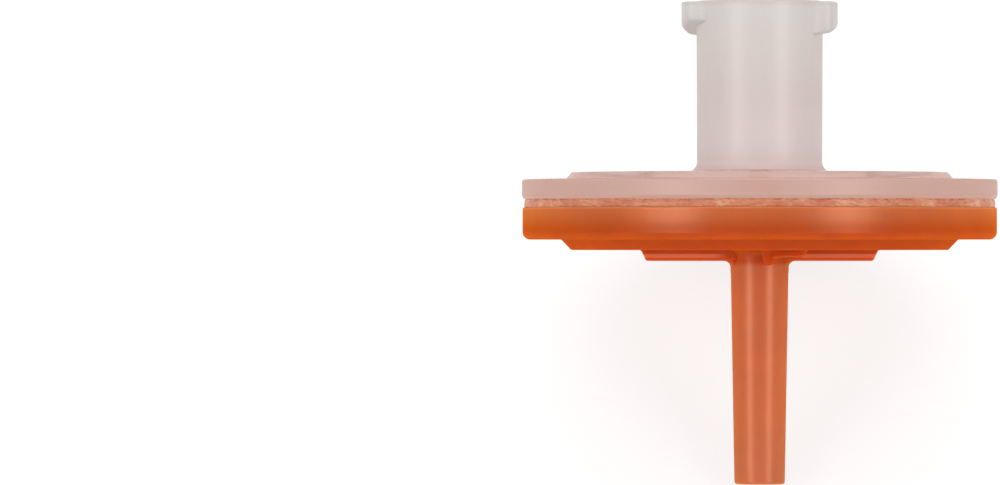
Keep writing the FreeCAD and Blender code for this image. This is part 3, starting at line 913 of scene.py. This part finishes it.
# ============================================================ weld bead
# Plastic of both colours that melted and squeezed into the groove when the housings were
# welded round the rim. It set in small flakes, so its surface is rough and mottled.

weld = outline("weld_bead", [
    (WELD_RADIUS - 0.10, -RIM_TOP - 0.03, 0, 0),
    (WELD_RADIUS - 0.04, -RIM_TOP - 0.03, 0, 0),
    (WELD_RADIUS - 0.01, 0.06, 0, 0),
    (WELD_RADIUS, -0.10, 0, 0),
    (WELD_RADIUS - 0.01, RIM_TOP, 0, 0),
    (WELD_RADIUS - 0.10, RIM_TOP, 0, 0),
])
pick(weld, "edges", lambda e: min(v.co.x for v in e.verts) > WELD_RADIUS - 0.05)
bpy.ops.mesh.subdivide(number_cuts=3)
turn(weld, steps=720)
# flakes that stand up by a few hundredths of a millimetre, 0.2 mm across
flakes = bpy.data.textures.new("melt_flakes", "CLOUDS")
flakes.noise_scale = 0.22
flakes.noise_depth = 2
use_modifier(weld, "DISPLACE", texture=flakes, texture_coords="LOCAL", strength=0.07, mid_level=0.6)
lay_down(weld, sharp_angle=60)


def weld_flash():
    """Melted polypropylene flash: a peach body with pale flakes a few tenths of a millimetre long that lean
    one way, orange showing between them, and a painted shadow under the flange: a broken dark line."""
    material, tree, output = new_material("polypropylene_weld_flash")
    place = filter_coordinates(tree)
    parts = add_node(tree, "ShaderNodeSeparateXYZ", links={"Vector": (place, "Vector")})
    bearing = add_node(tree, "ShaderNodeMath", {"operation": "ARCTAN2"}, {0: (parts, "Y"), 1: (parts, "X")})
    round_rim = add_node(tree, "ShaderNodeMath", {"operation": "MULTIPLY", 1: WELD_RADIUS},
                         {0: (bearing, "Value")})
    leaning = add_node(tree, "ShaderNodeMath", {"operation": "MULTIPLY_ADD", 1: 1.6},
                       {0: (parts, "Z"), 2: (round_rim, "Value")})
    strip = add_node(tree, "ShaderNodeCombineXYZ", links={"X": (leaning, "Value"), "Y": (parts, "Z")})
    # a flake is about 0.5 mm long and 0.2 mm high
    stretch = add_node(tree, "ShaderNodeMapping", {"Scale": (1.9, 5.5, 1.0)}, {"Vector": (strip, "Vector")})
    flake = add_node(tree, "ShaderNodeTexNoise",
                     {"Scale": 1.0, "Detail": 4.0, "Roughness": 0.7, "Distortion": 1.2},
                     {"Vector": (stretch, "Vector")})
    # the flakes come in clusters one to two millimetres long
    cluster = add_node(tree, "ShaderNodeTexNoise", {"Scale": 0.8, "Detail": 2.0},
                       {"Vector": (place, "Vector")})
    melt = add_node(tree, "ShaderNodeMath", {"operation": "MULTIPLY_ADD", 1: 0.7},
                    {0: (cluster, "Fac"), 2: (flake, "Fac")})
    tint = add_node(tree, "ShaderNodeValToRGB", {"stops": [
        (0.62, linear("#BC6A4A")),
        (0.76, linear("#C67A5A")),
        (0.90, linear("#D08C6A")),
        (1.00, linear("#DAA484")),
    ]}, {"Fac": (melt, "Value")})
    # painted shadow: a dark line under the flange's overhang, broken by flakes that reach over it
    ragged = add_node(tree, "ShaderNodeMath", {"operation": "MULTIPLY_ADD", 1: -0.35},
                      {0: (flake, "Fac"), 2: (parts, "Z")})
    flange_shadow = add_node(tree, "ShaderNodeMapRange", {"From Min": -0.03, "From Max": 0.02},
                        {"Value": (ragged, "Value")})
    tint_with_shadow = add_node(tree, "ShaderNodeMix", {"data_type": "RGBA", 7: linear("#A85A44")},
                      {0: (flange_shadow, "Result"), 6: (tint, "Color")})
    surface = add_node(tree, "ShaderNodeBsdfPrincipled", {
        "IOR": 1.49,
        "Roughness": 0.45,
        "Specular IOR Level": 0.25,
        "Subsurface Weight": 1.0,
        "Subsurface Radius": (1.0, 0.6, 0.45),
        "Subsurface Scale": 0.12 * MM,
    }, {"Base Color": (tint_with_shadow, 2)})
    tree.links.new(surface.outputs["BSDF"], output.inputs["Surface"])
    return material


weld.data.materials.append(weld_flash())
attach(weld, "root")

# ============================================================ floor, light and camera
# A plain white sweep. It carries the filter's soft shadow, and reads as white to the camera and
# through the clear plastic, without throwing more light on the filter.

deselect_all()
bpy.ops.mesh.primitive_plane_add(size=2.0, location=(0, 0, 0))
floor = bpy.context.object
floor.name = "floor"


def seen_directly(tree):
    """1 for rays that show a background to the camera, straight, mirrored or through plastic."""
    ray = add_node(tree, "ShaderNodeLightPath")
    straight = add_node(tree, "ShaderNodeMath", {"operation": "MAXIMUM"},
                        {0: (ray, "Is Camera Ray"), 1: (ray, "Is Glossy Ray")})
    return add_node(tree, "ShaderNodeMath", {"operation": "MAXIMUM"},
                    {0: (straight, "Value"), 1: (ray, "Is Transmission Ray")})


material, tree, output = new_material("paper_sweep_white")
place = add_node(tree, "ShaderNodeTexCoord")
# the paper's tooth is finer than a tenth of a millimetre, and is drawn at one millimetre so that it
# shows
tooth = add_node(tree, "ShaderNodeTexNoise", {"Scale": 900.0, "Detail": 2.0}, {"Vector": (place, "Object")})
tint = add_node(tree, "ShaderNodeValToRGB", {"stops": [(0.0, linear("#F2F2F2")), (1.0, linear("#F5F5F5"))]},
                {"Fac": (tooth, "Fac")})
paper = add_node(tree, "ShaderNodeBsdfDiffuse", links={"Color": (tint, "Color")})
dimmed = add_node(tree, "ShaderNodeBsdfDiffuse", {"Color": linear("#898989")})
white = add_node(tree, "ShaderNodeEmission", {"Color": linear("#FFFFFF"), "Strength": 0.79})
seen_paper = add_node(tree, "ShaderNodeAddShader", links={0: (dimmed, "BSDF"), 1: (white, "Emission")})
seen = seen_directly(tree)
sweep = add_node(tree, "ShaderNodeMixShader",
                 links={"Fac": (seen, "Value"), 1: (paper, "BSDF"), 2: (seen_paper, "Shader")})
tree.links.new(sweep.outputs["Shader"], output.inputs["Surface"])
floor.data.materials.append(material)

world = bpy.data.worlds.new("studio")
world.use_nodes = True
bpy.context.scene.world = world
tree = world.node_tree
tree.nodes.clear()
soft = add_node(tree, "ShaderNodeBackground", {"Color": linear("#FFFFFF"), "Strength": 0.65})
white = add_node(tree, "ShaderNodeBackground", {"Color": linear("#FFFFFF"), "Strength": 1.0})
seen = seen_directly(tree)
mixed = add_node(tree, "ShaderNodeMixShader",
                 links={"Fac": (seen, "Value"), 1: (soft, "Background"), 2: (white, "Background")})
add_node(tree, "ShaderNodeOutputWorld", links={"Surface": (mixed, "Shader")})

# the camera looks square to the filter's axis, a long lens from half a metre
across = Vector((1, 0, 0))
toward_camera = across.cross(filter_axis)
if toward_camera.z < 0:
    toward_camera.negate()
VIEW_DISTANCE = 0.48
FRAME_WIDTH, FRAME_HEIGHT = 50.00, 24.25     # what the frame takes in at the filter, mm
AXIS_ASIDE = 12.98               # the filter stands this far to the right of the frame's middle
HEADROOM = 0.05
seen_centre = seam_centre + filter_axis * (HUB_END + HEADROOM - FRAME_HEIGHT / 2) * MM
looked_at = seen_centre - across * AXIS_ASIDE * MM


def face(thing, place, target, up):
    """Puts a camera or lamp somewhere, facing a point, with its top towards up."""
    back = (place - target).normalized()
    right = up.cross(back).normalized()
    turned = Matrix((right, back.cross(right), back)).transposed().to_4x4()
    thing.matrix_world = Matrix.Translation(place) @ turned


camera = bpy.data.objects.new("camera", bpy.data.cameras.new("camera"))
bpy.context.scene.collection.objects.link(camera)
camera.data.sensor_width = 36.0
camera.data.lens = camera.data.sensor_width * VIEW_DISTANCE / (FRAME_WIDTH * MM)
camera.data.clip_start = 0.01
face(camera, seen_centre + toward_camera * VIEW_DISTANCE, looked_at, filter_axis)
bpy.context.scene.camera = camera

# two tall soft boxes, left and right of the camera, whose reflections run down the spout and rim,
# and a broad one overhead that lights the hub's side: direction, distance and size in metres, watts
SIDE_ANGLE = math.radians(42)
soft_boxes = [(toward_camera * math.cos(SIDE_ANGLE) + across * side * math.sin(SIDE_ANGLE),
               0.35, (0.14, 0.17), 0.27) for side in (-1, 1)]
soft_boxes.append((Vector((0, 0.559, 0.829)), 0.50, (0.60, 0.60), 1.45))
for way, distance, size, power in soft_boxes:
    lamp = bpy.data.objects.new("soft_box", bpy.data.lights.new("soft_box", "AREA"))
    bpy.context.scene.collection.objects.link(lamp)
    lamp.data.shape = "RECTANGLE"
    lamp.data.size, lamp.data.size_y = size
    lamp.data.energy = power
    face(lamp, seam_centre + way * distance, seam_centre, filter_axis)

bpy.context.scene.view_settings.view_transform = "Standard"
